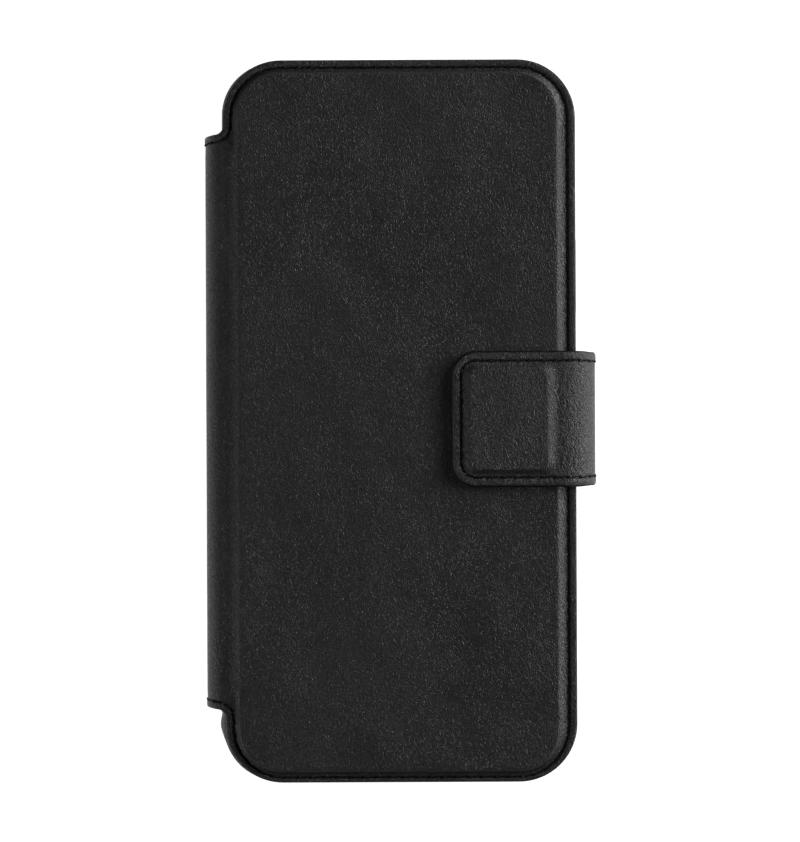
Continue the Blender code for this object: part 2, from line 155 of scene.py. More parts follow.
class CaseColors(bpy.types.PropertyGroup):
    """Colours of the finish, linear."""

    leather: FloatVectorProperty(
        name="Leather", description="Black grained leather", subtype='COLOR', size=3,
        default=(0.0085, 0.0085, 0.0089), min=0, max=1)
    thread: FloatVectorProperty(
        name="Thread", description="Waxed thread", subtype='COLOR', size=3,
        default=(0.002, 0.002, 0.0022), min=0, max=1)
    lining: FloatVectorProperty(
        name="Lining", description="Brushed microfibre", subtype='COLOR', size=3,
        default=(0.030, 0.030, 0.033), min=0, max=1)
    shell: FloatVectorProperty(
        name="Shell", description="Moulded plastic", subtype='COLOR', size=3,
        default=(0.018, 0.018, 0.020), min=0, max=1)
    floor: FloatVectorProperty(
        name="Floor", description="Plain pale floor", subtype='COLOR', size=3,
        default=(0.9, 0.9, 0.9), min=0, max=1)


def sizes():
    return bpy.context.scene.case_sizes


def colors():
    return bpy.context.scene.case_colors


# ---------------------------------------------------------------- materials

class Nodes:
    """A material under construction: add(type) makes a node, link joins two sockets."""

    def __init__(self, name):
        self.material = bpy.data.materials.new(name)
        self.material.use_nodes = True
        self.tree = self.material.node_tree
        self.shader = self.tree.nodes["Principled BSDF"]
        self.coords = self.add("ShaderNodeTexCoord").outputs["Object"]

    def add(self, kind, **settings):
        node = self.tree.nodes.new(kind)
        for key, value in settings.items():
            if key in node.inputs:
                node.inputs[key].default_value = value
            else:
                setattr(node, key, value)
        return node

    def link(self, a, b):
        self.tree.links.new(a, b)

    def stretched(self, turn, scale, vector=None):
        """Coordinates in which a pattern is drawn out by scale along its turned axes."""
        node = self.add("ShaderNodeMapping", vector_type='TEXTURE')
        node.inputs["Rotation"].default_value = [math.radians(a) for a in turn]
        node.inputs["Scale"].default_value = scale
        self.link(vector or self.coords, node.inputs["Vector"])
        return node.outputs["Vector"]

    def warped(self, vector, scale, amount):
        """The vector pushed about by slow noise, so that a pattern's direction drifts."""
        noise_node = self.add("ShaderNodeTexNoise")
        noise_node.inputs["Scale"].default_value = scale
        noise_node.inputs["Detail"].default_value = 1.0
        self.link(self.coords, noise_node.inputs["Vector"])
        push = self.add("ShaderNodeVectorMath", operation='MULTIPLY_ADD')
        push.inputs[1].default_value = (amount,) * 3
        self.link(noise_node.outputs["Color"], push.inputs[0])
        self.link(vector, push.inputs[2])
        return push.outputs["Vector"]

    def noise(self, vector, scale, detail=2.0, roughness=0.5, distortion=0.0):
        node = self.add("ShaderNodeTexNoise")
        node.inputs["Scale"].default_value = scale
        node.inputs["Detail"].default_value = detail
        node.inputs["Roughness"].default_value = roughness
        node.inputs["Distortion"].default_value = distortion
        self.link(vector, node.inputs["Vector"])
        return node.outputs["Fac"]

    def cells(self, vector, scale):
        node = self.add("ShaderNodeTexVoronoi")
        node.inputs["Scale"].default_value = scale
        self.link(vector, node.inputs["Vector"])
        return node.outputs["Distance"]

    def math(self, operation, a, b):
        node = self.add("ShaderNodeMath", operation=operation)
        for socket, value in zip(node.inputs, (a, b)):
            if isinstance(value, bpy.types.NodeSocket):
                self.link(value, socket)
            else:
                socket.default_value = value
        return node.outputs[0]

    def spread(self, value, low, high, start=0.0, end=1.0):
        node = self.add("ShaderNodeMapRange")
        for key, number in (("From Min", start), ("From Max", end), ("To Min", low), ("To Max", high)):
            node.inputs[key].default_value = number
        self.link(value, node.inputs["Value"])
        return node.outputs["Result"]

    def tint(self, value, dark, light):
        node = self.add("ShaderNodeMix", data_type='RGBA')
        node.inputs["A"].default_value = (*dark, 1)
        node.inputs["B"].default_value = (*light, 1)
        self.link(value, node.inputs["Factor"])
        return node.outputs["Result"]

    def bump(self, height, distance, strength):
        node = self.add("ShaderNodeBump")
        node.inputs["Strength"].default_value = strength
        node.inputs["Distance"].default_value = distance
        self.link(height, node.inputs["Height"])
        return node.outputs["Normal"]

    def finish(self, color, roughness, normal=None):
        for name, value in (("Base Color", color), ("Roughness", roughness), ("Normal", normal)):
            if isinstance(value, bpy.types.NodeSocket):
                self.link(value, self.shader.inputs[name])
            elif value is not None:
                self.shader.inputs[name].default_value = value
        return self.material


def scaled(color, factor):
    return tuple(min(1.0, c * factor) for c in color)


def leather_material(name, grain=1.0, gloss=0.0, wrinkle=0.3):
    """Fine-grained black leather: short slanted wrinkles, pores and slow tone changes; its colour follows
    the raised flecks, partly the grain's own tone and partly painted shade in the grain's valleys and
    painted highlight on its flecks.
    """
    n = Nodes(name)
    base = colors().leather
    drifting = n.warped(n.coords, DRIFT_SCALE, DRIFT)
    slanted = n.stretched((0, 0, GRAIN_TURN), (1.0, GRAIN_STRETCH, 1.0), drifting)
    flecks = n.noise(slanted, FLECK_SCALE, 1.0, 0.5, 0.2)
    pores = n.noise(n.coords, PORE_SCALE, 1.0, 0.5)
    wrinkles = n.noise(slanted, WRINKLE_SCALE, 2.0, 0.6, 0.8)
    slow = n.noise(n.coords, PATCH_SCALE, 3.0)
    height = n.math('ADD', n.math('MULTIPLY', flecks, 0.8), n.math('MULTIPLY', pores, 0.2))
    height = n.math('ADD', height, n.math('MULTIPLY', wrinkles, wrinkle * 2))
    normal = n.bump(height, GRAIN_HEIGHT * grain, 1.0)
    # colour follows the same flecks as the bump: partly the grain's own tone, partly painted shade in its
    # valleys and painted highlight on its raised flecks
    tone = n.math('ADD', n.math('MULTIPLY', slow, 0.12), n.math('MULTIPLY', flecks, 0.88))
    color = n.tint(n.spread(tone, 0, 1, 0.36, 0.64), scaled(base, 0.1), scaled(base, 2.3))
    shine = n.math('ADD', n.math('MULTIPLY', slow, 0.3), flecks)
    rough = n.math('SUBTRACT', n.spread(shine, 0.62, 0.3, 0.5, 0.8), gloss)
    n.shader.inputs["Specular IOR Level"].default_value = 0.5
    return n.finish(color, rough, normal)


def thread_material(name):
    """Waxed thread, twisted: fine slanted ridges."""
    n = Nodes(name)
    base = colors().thread
    wave = n.add("ShaderNodeTexWave", wave_type='BANDS', bands_direction='DIAGONAL')
    wave.inputs["Scale"].default_value = 900
    wave.inputs["Distortion"].default_value = 1.5
    n.link(n.coords, wave.inputs["Vector"])
    ridges = wave.outputs["Fac"]
    color = n.tint(ridges, scaled(base, 0.5), scaled(base, 1.5))
    n.shader.inputs["Specular IOR Level"].default_value = 0.12
    return n.finish(color, n.spread(ridges, 0.9, 0.75), n.bump(ridges, 0.06 * MM, 0.6))


def ink_and_shadow_material(name):
    """Black paint on the strap's cut edge, a little uneven; where its bead stands out past the edge, its
    black is also a painted shadow line round the tab.
    """
    n = Nodes(name)
    runs = n.noise(n.coords, 900, 2.0)
    n.shader.inputs["Specular IOR Level"].default_value = 0.2
    color = n.tint(runs, (0.0015,) * 3, (0.0035,) * 3)
    return n.finish(color, n.spread(runs, 0.7, 0.5), n.bump(runs, 0.05 * MM, 0.5))


def lining_material(name):
    """Brushed microfibre with a short nap."""
    n = Nodes(name)
    base = colors().lining
    nap = n.noise(n.stretched((0, 0, 8), (1.0, 4.0, 1.0)), 5200, 3.0, 0.7)
    patches = n.noise(n.coords, 55, 4.0, 0.6, 0.8)
    tone = n.math('ADD', n.math('MULTIPLY', nap, 0.5), n.math('MULTIPLY', patches, 0.5))
    color = n.tint(n.spread(tone, 0, 1, 0.35, 0.65), scaled(base, 0.75), scaled(base, 1.35))
    n.shader.inputs["Sheen Weight"].default_value = 0.35
    n.shader.inputs["Sheen Roughness"].default_value = 0.6
    n.shader.inputs["Specular IOR Level"].default_value = 0.2
    return n.finish(color, n.spread(nap, 0.97, 0.85), n.bump(nap, 0.08 * MM, 0.7))


def plastic_material(name, roughness=0.42, grain=1.0):
    """Moulded plastic with a fine spark-eroded texture."""
    n = Nodes(name)
    base = colors().shell
    sparks = n.noise(n.coords, 4200, 2.0, 0.6)
    slow = n.noise(n.coords, 60, 3.0)
    color = n.tint(slow, scaled(base, 0.9), scaled(base, 1.15))
    rough = n.math('ADD', n.spread(slow, -0.05, 0.05), roughness)
    return n.finish(color, rough, n.bump(sparks, 0.04 * MM * grain, 0.45))


def board_material(name):
    """Pressed fibre board."""
    n = Nodes(name)
    fibres = n.noise(n.stretched((0, 0, 30), (1.0, 5.0, 1.0)), 2400, 4.0, 0.7)
    color = n.tint(fibres, (0.10, 0.085, 0.07), (0.21, 0.18, 0.15))
    return n.finish(color, 0.88, n.bump(fibres, 0.08 * MM, 0.6))


def foam_material(name):
    """Closed-cell foam."""
    n = Nodes(name)
    bubbles = n.cells(n.coords, 2600)
    color = n.tint(bubbles, (0.05, 0.05, 0.055), (0.13, 0.13, 0.14))
    return n.finish(color, 0.95, n.bump(bubbles, 0.1 * MM, 0.8))


def magnet_material(name):
    """Nickel-plated sheet, brushed one way."""
    n = Nodes(name)
    brushed = n.noise(n.stretched((0, 0, 0), (1.0, 20.0, 1.0)), 5200, 2.0)
    n.shader.inputs["Metallic"].default_value = 1.0
    color = n.tint(brushed, (0.42, 0.42, 0.43), (0.55, 0.55, 0.56))
    return n.finish(color, n.spread(brushed, 0.28, 0.42), n.bump(brushed, 0.02 * MM, 0.5))


def floor_material(name):
    """Matt white paper, lit from below like a light table."""
    n = Nodes(name)
    base = tuple(colors().floor)
    n.shader.inputs["Specular IOR Level"].default_value = 0.0
    n.shader.inputs["Emission Color"].default_value = (1, 1, 1, 1)
    n.shader.inputs["Emission Strength"].default_value = 0.9
    return n.finish(n.tint(n.noise(n.coords, 30, 2.0), scaled(base, 0.99), base), 1.0)


MAKERS = {
    "case_leather": leather_material,
    "strap_leather": lambda name: leather_material(name, 1.1, 0.0, 0.45),
    "pocket_leather": lambda name: leather_material(name, 0.6, 0.05, 0.1),
    "seam_thread": thread_material,
    "edge_ink": ink_and_shadow_material,
    "microfibre": lining_material,
    "shell_plastic": plastic_material,
    "button_plastic": lambda name: plastic_material(name, 0.3, 0.5),
    "fibre_board": board_material,
    "thin_foam": foam_material,
    "magnet_plate": magnet_material,
    "pale_floor": floor_material,
}


def material(name):
    return bpy.data.materials.get(name) or MAKERS[name](name)


# ---------------------------------------------------------------- mesh helpers

SHARP, SHELL_SHARP = 40, 35      # angle in degrees from which an edge shows


def add_piece(name, bm, finish, body=None, stands_for=()):
    """Turn a bmesh into a piece of the case and put it on its body."""
    mesh = bpy.data.meshes.new(name)
    bm.to_mesh(mesh)
    bm.free()
    mesh.shade_smooth()
    mesh.set_sharp_from_angle(angle=math.radians(SHARP))
    obj = bpy.data.objects.new(name, mesh)
    bpy.context.scene.collection.objects.link(obj)
    mesh.materials.append(material(finish))
    if body:
        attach(obj, body)
    if stands_for:
        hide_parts(*stands_for)
    return obj


def arc(cx, cy, radius, start, end, steps):
    """Points on an arc in degrees, without the last one."""
    angles = [math.radians(start + (end - start) * i / steps) for i in range(steps)]
    return [(cx + radius * math.cos(a), cy + radius * math.sin(a)) for a in angles]


def split(a, b, count):
    """Points on a straight line from a up to but without b."""
    return [(a[0] + (b[0] - a[0]) * i / count, a[1] + (b[1] - a[1]) * i / count)
            for i in range(count)]


def run(a, b, step):
    """Points from a up to but without b, about a step apart."""
    return split(a, b, max(1, round(math.dist(a, b) / step)))


def rounded_rect(left, right, bottom, top, radii, steps=14, across=1, upright=1):
    """Closed outline, counter-clockwise; radii for bottom-left, bottom-right, top-right, top-left.

    The straight stretches are divided into across and upright pieces.
    """
    a, b, c, d = radii
    corners = [
        arc(left + a, bottom + a, a, 180, 270, steps) + [(left + a, bottom)],
        arc(right - b, bottom + b, b, 270, 360, steps) + [(right, bottom + b)],
        arc(right - c, top - c, c, 0, 90, steps) + [(right - c, top)],
        arc(left + d, top - d, d, 90, 180, steps) + [(left, top - d)],
    ]
    points = []
    for i, corner in enumerate(corners):
        following = corners[(i + 1) % 4]
        points += corner[:-1] + split(corner[-1], following[0], upright if i % 2 else across)
    return points


def chain(bm, points, depth, closed):
    """Vertices along an outline with the edges between them."""
    verts = [bm.verts.new((x, y, depth)) for x, y in points]
    following = verts[1:] + verts[:1] if closed else verts[1:]
    return verts, [bm.edges.new(pair) for pair in zip(verts, following)]


def closed_chain(bm, points, depth):
    return chain(bm, points, depth, True)[1]


def widen(bm, verts, edges, points, depth):
    """Extrude a chain of edges and carry each vertex to its place on the next outline."""
    places = dict(zip(verts, points))
    made = bmesh.ops.extrude_edge_only(bm, edges=edges)["geom"]
    carried = {}
    for v in (g for g in made if isinstance(g, bmesh.types.BMVert)):
        old = next(e.other_vert(v) for e in v.link_edges if e.other_vert(v) in places)
        carried[old] = v
        v.co = (*places[old], depth)
    moved = set(carried.values())
    along = [g for g in made if isinstance(g, bmesh.types.BMEdge) and moved.issuperset(g.verts)]
    return [carried[v] for v in verts], along


def sweep(bm, outline, profile, closed=False):
    """Rings of an outline along a profile of (inset, depth); returns first and last chains."""
    inset, depth = profile[0]
    verts, first = chain(bm, outline(inset), depth, closed)
    edges = first
    for inset, depth in profile[1:]:
        verts, edges = widen(bm, verts, edges, outline(inset), depth)
    return first, edges


def chain_ends(edges):
    """The two loose ends of an open chain."""
    count = {}
    for e in edges:
        for v in e.verts:
            count[v] = count.get(v, 0) + 1
    return [v for v, times in count.items() if times == 1]


def close_chain(bm, edges):
    """An open chain with the edge between its ends."""
    return edges + [bm.edges.new(chain_ends(edges))]


def fill(bm, edges):
    bmesh.ops.triangle_fill(bm, use_beauty=True, edges=edges)


def cut_at(bm, places, axis):
    """Cut the flat sheet at places along an axis."""
    for place in places:
        geom = bm.verts[:] + bm.edges[:] + bm.faces[:]
        bmesh.ops.bisect_plane(bm, geom=geom, dist=1e-7, plane_co=axis * place, plane_no=axis)


def cut_across(bm, xs):
    """Cut the flat sheet along lines of constant x, so that it can bend there."""
    cut_at(bm, xs, Vector((1, 0, 0)))


def cut_along(bm, ys):
    """Cut the flat sheet along lines of constant y."""
    cut_at(bm, ys, Vector((0, 1, 0)))


def steps_between(start, end, count):
    """Even places from start to end, with both of them."""
    return [start + (end - start) * i / count for i in range(count + 1)]


def spine_cuts(far_x):
    """Where a cover's sheet is cut to run up the spine and turn round its bend."""
    start = -BEND_X - BEND_LENGTH
    return steps_between(far_x, start, WALL_CUTS)[1:] + steps_between(start, -BEND_X, BEND_CUTS)


def wrap(co, side, flat_z, up):
    """Place a point of the flat sheet (x, y, depth) on the case.

    Past BEND_X the sheet turns round the bend and runs along the side wall. up is True where
    the flat outer face looks down and the wall rises from it. The bent sheet is a little narrower
    than the flat one.
    """
    x, y, depth = co
    sign = 1 if up else -1
    over = side * x - BEND_X
    if over <= 0:
        return Vector((x, y, flat_z + sign * depth))
    y, slack = narrowed(y, side, over)
    if over >= BEND_LENGTH:
        return Vector((side * (OUTER_X + slack - depth), y, flat_z + sign * (BEND_R + over - BEND_LENGTH)))
    angle = over / BEND_R
    reach = BEND_R - depth
    return Vector((side * (BEND_X + slack + reach * math.sin(angle)), y,
                   flat_z + sign * (BEND_R - reach * math.cos(angle))))


def narrowed(y, side, over):
    """The place across the bent sheet, and how far it stands off, at a length past BEND_X."""
    turned = ease(over / BEND_LENGTH)
    return y + (CENTER_Y[side] - y) * NARROWING[side] * turned, SLACK[side] * turned


def over_length(height):
    """Length of sheet past BEND_X that reaches this height along the wall."""
    return BEND_LENGTH + height - BEND_R


def bump_at(value, center, width):
    """One at the centre, fading to nothing on both sides."""
    return math.exp(-((value - center) / width) ** 2)


def ease(t):
    """From 0 to 1 with a soft start and a soft end."""
    t = max(0.0, min(1.0, t))
    return t * t * (3 - 2 * t)


def on_front(co):
    return wrap(co, -1, BORDER_Z, False)


def on_rear(co):
    return wrap(co, -1, 0.0, True)


def on_band(co):
    return wrap(co, 1, STRAP_ROOT_Z, True)


def seal(bm):
    """Close the open ends, weld and turn the faces out."""
    bmesh.ops.remove_doubles(bm, verts=bm.verts[:], dist=1e-7)
    open_edges = [e for e in bm.edges if e.is_boundary]
    if open_edges:
        bmesh.ops.holes_fill(bm, edges=open_edges, sides=0)
    turn_out(bm)


def turn_out(bm):
    bmesh.ops.recalc_face_normals(bm, faces=bm.faces[:])


def put_on(bm, place):
    """Close the flat sheet and put its vertices where they belong on the case."""
    seal(bm)
    for v in bm.verts:
        v.co = place(v.co)
    turn_out(bm)


def bevel_profile(width, rise, crown_insets):
    """The raised part's side from its foot to its crown, and the rings that its top needs."""
    height = rise + FOOT_DEPTH
    side = [(width * t / BEVEL_STEPS, FOOT_DEPTH - height * draped(t / BEVEL_STEPS))
            for t in range(BEVEL_STEPS + 1)]
    return side + [(inset, -rise) for inset in crown_insets]


def edge_profile(channel=CHANNEL):
    """The turned edge, from the seam channel out, round the edge and in under the board."""
    inset = sizes().seam_inset
    return [
        (inset + 0.16 * MM, channel * 0.9), (inset, channel), (inset - 0.16 * MM, channel * 0.85),
        (inset - 0.3 * MM, channel * 0.3), (inset - 0.5 * MM, 0), (0.6 * MM, 0.01 * MM),
        (0.3 * MM, 0.05 * MM), (0.13 * MM, 0.11 * MM), (0.03 * MM, 0.24 * MM), (0, 0.42 * MM),
        (0, 1.5 * MM), (0.1 * MM, 1.85 * MM), (0.3 * MM, 2.03 * MM), (0.6 * MM, SANDWICH),
        (4.5 * MM, SANDWICH), (4.5 * MM, SANDWICH - FLAP), (0.92 * MM, SANDWICH - FLAP),
        (0.92 * MM, LEATHER), (inset + 0.16 * MM, LEATHER),
    ]


# ---------------------------------------------------------------- outlines

FREE_STEP = 2.4 * MM


def settle(x, y, inset, radius, nip):
    """Bring the bottom seam closer to its edge, and nip the corner below the spine in or out."""
    low = FRONT_LOW.y
    y -= (1 - BOTTOM_SEAM) * inset * ease((low + radius - y) / (radius - inset))
    x += nip * bump_at(y, NIP_Y, NIP_WIDTH) * ease((CREASE_X - x) / (2 * MM))
    return x, y


def cover_edge(inset, left, right, radius, far_x, nip):
    """The free edge of a cover's skin, from the spine's top end round to its bottom end."""
    top, bottom = FRONT_HIGH.y, FRONT_LOW.y
    ear_top, ear_bottom = SPINE_HIGH.y + EAR_RISE, SPINE_LOW.y
    r = radius - inset
    points = run((far_x, ear_top - inset), (left - EAR_R, ear_top - inset), FREE_STEP)
    points += arc(left - EAR_R, ear_top + EAR_R, EAR_R + inset, 270, 360, 8)
    points += run((left + inset, ear_top + EAR_R), (left + inset, top - radius), FREE_STEP)
    points += arc(left + radius, top - radius, r, 180, 90, 16)
    points += run((left + radius, top - inset), (right - radius, top - inset), FREE_STEP)
    points += arc(right - radius, top - radius, r, 90, 0, 16)
    points += run((right - inset, top - radius), (right - inset, bottom + radius), FREE_STEP)
    points += arc(right - radius, bottom + radius, r, 0, -90, 16)
    points += run((right - radius, bottom + inset), (left + radius, bottom + inset), FREE_STEP)
    points += arc(left + radius, bottom + radius, r, 270, 180, 20)
    points += run((left + inset, bottom + radius), (left + inset, ear_bottom - EAR_R), FREE_STEP / 4)
    points += arc(left - EAR_R, ear_bottom - EAR_R, EAR_R + inset, 0, 90, 8)
    points += run((left - EAR_R, ear_bottom + inset), (far_x, ear_bottom + inset), FREE_STEP)
    points.append((far_x, ear_bottom + inset))
    return [settle(x, y, inset, radius, nip) for x, y in points]


SPINE_MIDDLE_Z = BORDER_Z / 2
FRONT_FAR_X = -(BEND_X + over_length(BORDER_Z - SPINE_MIDDLE_Z))
REAR_FAR_X = -(BEND_X + over_length(SPINE_MIDDLE_Z))


def front_edge(inset):
    return cover_edge(inset, -FRONT_HIGH.x, FRONT_HIGH.x, COVER_R, FRONT_FAR_X, FRONT_NIP)


def rear_edge(inset):
    """The rear skin's edge, flared out where the spine ends."""
    left, right = -FRONT_HIGH.x + REAR_SHIFT, FRONT_HIGH.x + REAR_SHIFT
    return cover_edge(inset, left, right, REAR_R, REAR_FAR_X, REAR_NIP)


def panel_edge(inset):
    """The raised panel's outline, inset from its foot; its bevels differ in width."""
    side, end = (inset * k for k in PANEL_SLOPES)
    return rounded_rect(PANEL_LEFT + side, PANEL_RIGHT - inset, PANEL_BOTTOM + end, PANEL_TOP - end,
                        [PANEL_R - inset] * 4, 14, 20, 48)


def window_edge(inset):
    """The camera window in the rear skin, widening with the inset."""
    low, high = RING_LOW - Vector((inset, inset, 0)), RING_HIGH + Vector((inset, inset, 0))
    return rounded_rect(low.x, high.x, low.y, high.y, [WINDOW_R + inset] * 4)


# ---------------------------------------------------------------- skins

def waves(x, y, scale, seed):
    return noise.noise(Vector((x * scale, y * scale, seed)))


def front_relief(x, y):
    """Extra depth of the front skin: a faint crease along the spine, and slow waves."""
    fade = ease((SPINE_HIGH.y + 10 * MM - abs(y)) / (9 * MM))
    crease = CREASE_DEPTH * bump_at(x, CREASE_X + 0.1 * MM, CREASE_HALF)
    return crease * fade - sizes().softness * waves(x, y, 95, 2.0)


DRAPE_START, DRAPE_POWER = 0.12, 1.5
RAMP_POWER = 1.7


def draped(t):
    """Rise of leather draped over a board's edge: soft at its foot, steepest near the crown."""
    return ease((DRAPE_START + (1 - DRAPE_START) * t) ** DRAPE_POWER)


def spine_ramp(x, y, depth):
    """Along the spine the leather climbs to the panel in one long slope."""
    along = ease((SPINE_HIGH.y - 0.8 * MM - abs(y)) / (3 * MM))
    climb = max(0.0, (x - RAMP_X) / (CREASE_X - RAMP_X))
    if x > CREASE_X or depth > LEATHER / 2:
        return depth
    return depth + (FOOT_DEPTH - (PANEL_RISE + FOOT_DEPTH) * climb ** RAMP_POWER - depth) * along


def front_skin():
    bm = bmesh.new()
    outer, inner = sweep(bm, front_edge, edge_profile())
    panel = bevel_profile(PANEL_BEVEL, PANEL_RISE, (3.4 * MM, 6 * MM, 9 * MM))
    foot, crown = sweep(bm, panel_edge, panel, closed=True)
    fill(bm, close_chain(bm, outer) + foot)
    fill(bm, close_chain(bm, inner))
    fill(bm, crown)
    cut_across(bm, spine_cuts(FRONT_FAR_X))
    cut_across(bm, steps_between(-BEND_X + 0.3 * MM, CREASE_X + 1.1 * MM, 16))
    cut_across(bm, steps_between(PANEL_LEFT + 6 * MM, FRONT_HIGH.x - 8 * MM, 14))
    cut_along(bm, steps_between(FRONT_LOW.y + 8 * MM, FRONT_HIGH.y - 8 * MM, 34))
    for v in bm.verts:
        x, y, depth = v.co
        if depth < LEATHER / 2:
            v.co.z = spine_ramp(x, y, depth) + front_relief(x, y)
    put_on(bm, on_front)
    skin = add_piece("front_skin", bm, "case_leather",
                     stands_for=("front_leather", "front_foam"))
    blend_cover(skin)


def blend_cover(piece):
    """Upper half of the spine's leather, with the front cover's: bakes the piece's transform into its
    mesh.
    """
    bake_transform(piece)


def blend_spine(piece):
    """Lower half of the spine's leather, with the rear cover's: bakes the piece's transform into its mesh.
    """
    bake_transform(piece)


def rear_skin():
    bm = bmesh.new()
    outer, inner = sweep(bm, rear_edge, edge_profile(REAR_CHANNEL))
    window = [(0.05 * MM, 0.45 * MM), (0.12 * MM, 0.12 * MM), (0.4 * MM, 0.0), (1.2 * MM, 0.0)]
    rim, spread = sweep(bm, window_edge, window, closed=True)
    low_rim, low_spread = sweep(bm, window_edge, [(0.05 * MM, LEATHER), (1.2 * MM, LEATHER)], True)
    fill(bm, close_chain(bm, outer) + spread)
    fill(bm, close_chain(bm, inner) + low_spread)
    bmesh.ops.bridge_loops(bm, edges=rim + low_rim)
    cut_across(bm, spine_cuts(REAR_FAR_X) + steps_between(-38 * MM, -35 * MM, 4))
    for v in bm.verts:
        x, y, depth = v.co
        flare = bump_at(y, NIP_Y, NIP_WIDTH) * ease((-38.5 * MM - x) / (1.5 * MM))
        v.co.x += REAR_FLARE * flare * depth / SANDWICH
    put_on(bm, on_rear)
    skin = add_piece("rear_skin", bm, "case_leather",
                     stands_for=("rear_leather", "spine_leather"))
    blend_spine(skin)


# ---------------------------------------------------------------- strap

STRAP_MIDDLE_Z = TAB_TOP_Z / 2
STRAP_ROOT_Z = 0.3 * MM
STRAP_THICK = 1.45 * MM
TAB_R = 5.4 * MM
TAB_FAR_X = BEND_X + over_length(TAB_TOP_Z - STRAP_MIDDLE_Z)
ROOT_NEAR_X = 37.0 * MM
PAD_INSET = 2.2 * MM
PAD_RIGHT = 36.3 * MM
PAD_R = 3.4 * MM
PAD_CROWN_R = 2.2 * MM
PAD_BEVEL = 2.1 * MM
ROLL_X = 37.0 * MM               # where the tab starts to turn down, and how far it has sunk
ROLL_DROP = 6.2 * MM             # when it runs along the side
ROLL_END = BEND_X + over_length(ROLL_DROP)
CREASE_HEIGHT = 0.13 * MM
TAB_WAVE_HEIGHT = 0.02 * MM


def tab_edge(inset):
    """Free edge of the tab and the upper band, from the lower far end round the tab."""
    top, bottom, left = TAB_HIGH.y - inset, TAB_LOW.y + inset, TAB_LOW.x
    r = TAB_R - inset
    points = run((TAB_FAR_X, bottom), (left + TAB_R, bottom), FREE_STEP)
    points += arc(left + TAB_R, TAB_LOW.y + TAB_R, r, 270, 180, 12)
    points += run((left + inset, TAB_LOW.y + TAB_R), (left + inset, TAB_HIGH.y - TAB_R), FREE_STEP)
    points += arc(left + TAB_R, TAB_HIGH.y - TAB_R, r, 180, 90, 12)
    points += run((left + TAB_R, top), (TAB_FAR_X, top), FREE_STEP)
    return points + [(TAB_FAR_X, top)]


def strap_profile():
    inset = sizes().strap_seam_inset
    thick = STRAP_THICK
    return [
        (inset + 0.16 * MM, 0.16 * MM), (inset, 0.2 * MM), (inset - 0.16 * MM, 0.16 * MM),
        (inset - 0.3 * MM, 0.05 * MM), (inset - 0.5 * MM, 0), (0.55 * MM, 0.01 * MM),
        (0.3 * MM, 0.05 * MM), (0.12 * MM, 0.11 * MM), (0.03 * MM, 0.22 * MM), (0, 0.4 * MM),
        (0, thick - 0.3 * MM), (0.1 * MM, thick - 0.08 * MM), (0.35 * MM, thick),
        (inset + 0.16 * MM, thick),
    ]


def pad_edge(inset):
    """The pad's outline, inset from its foot; its right bevel is the widest."""
    end = 0.8 * inset
    low_y, high_y = TAB_LOW.y + PAD_INSET + end, TAB_HIGH.y - PAD_INSET - end
    radii = [max(PAD_CROWN_R, PAD_R - inset)] * 4
    return rounded_rect(TAB_LOW.x + PAD_INSET + 0.9 * inset, PAD_RIGHT - 1.35 * inset, low_y, high_y,
                        radii, 8, 7, 10)


def tab_relief(x, y):
    """Slow waves, and tight creases where the strap turns down between pad and edge."""
    near = ease((x - PAD_RIGHT + 1.4 * MM) / (1.5 * MM)) * ease((BEND_X + 2.0 * MM - x) / (3 * MM))
    inside = ease((TAB_HIGH.y - 2.2 * MM - y) / (2 * MM)) * ease((y - TAB_LOW.y - 2.2 * MM) / (2 * MM))
    ridged = abs(noise.noise(Vector((x * 700, y * 330, 5.0)))) + 0.5 * abs(
        noise.noise(Vector((x * 1500, y * 700, 9.0))))
    return CREASE_HEIGHT * near * inside * ridged - TAB_WAVE_HEIGHT * waves(x, y, 160, 7.0)


def roll(co):
    """Place a point of the tab: past the pad the strap turns down along a quarter of an ellipse."""
    x, y, depth = co
    t = (x - ROLL_X) / (ROLL_END - ROLL_X)
    if not 0 < t < 1:
        return wrap(co, 1, TAB_TOP_Z, False)
    width = OUTER_X + SLACK[1] - ROLL_X
    across, up = math.sin(t * math.pi / 2), math.cos(t * math.pi / 2)
    outward = Vector((ROLL_DROP * across, 0, width * up)).normalized()
    place = Vector((ROLL_X + width * across, narrowed(y, 1, max(0.0, x - BEND_X))[0],
                    TAB_TOP_Z - ROLL_DROP * (1 - up)))
    return place - outward * depth


def tab_place(co):
    """The same for a point that lies on the tab's creased face."""
    x, y, depth = co
    return roll((x, y, depth + tab_relief(x, y)))


def strap_tab():
    bm = bmesh.new()
    outer, inner = sweep(bm, tab_edge, strap_profile())
    foot, crown = sweep(bm, pad_edge, bevel_profile(PAD_BEVEL, PAD_RISE, (3.4 * MM,)), closed=True)
    fill(bm, close_chain(bm, outer) + foot)
    fill(bm, close_chain(bm, inner))
    fill(bm, crown)
    cuts = steps_between(PAD_RIGHT + 0.2 * MM, BEND_X, 18)
    cuts += steps_between(BEND_X, ROLL_END, 26)[1:]
    cut_across(bm, cuts + steps_between(ROLL_END, TAB_FAR_X, WALL_CUTS)[1:-1])
    cut_across(bm, steps_between(TAB_LOW.x + 5 * MM, PAD_RIGHT - 3 * MM, 8))
    cut_along(bm, steps_between(TAB_LOW.y + 2.6 * MM, TAB_HIGH.y - 2.6 * MM, 84))
    for v in bm.verts:
        x, y, depth = v.co
        if depth < STRAP_THICK / 2:
            v.co.z += tab_relief(x, y)
    put_on(bm, roll)
    tab = add_piece("strap_tab_skin", bm, "strap_leather",
                    stands_for=("strap_tab_leather", "strap_stiffener", "strap_magnet",
                                "strap_tab_lining"))
    blend_tab(tab)


def blend_tab(piece):
    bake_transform(piece)


def blend_band(piece):
    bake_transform(piece)


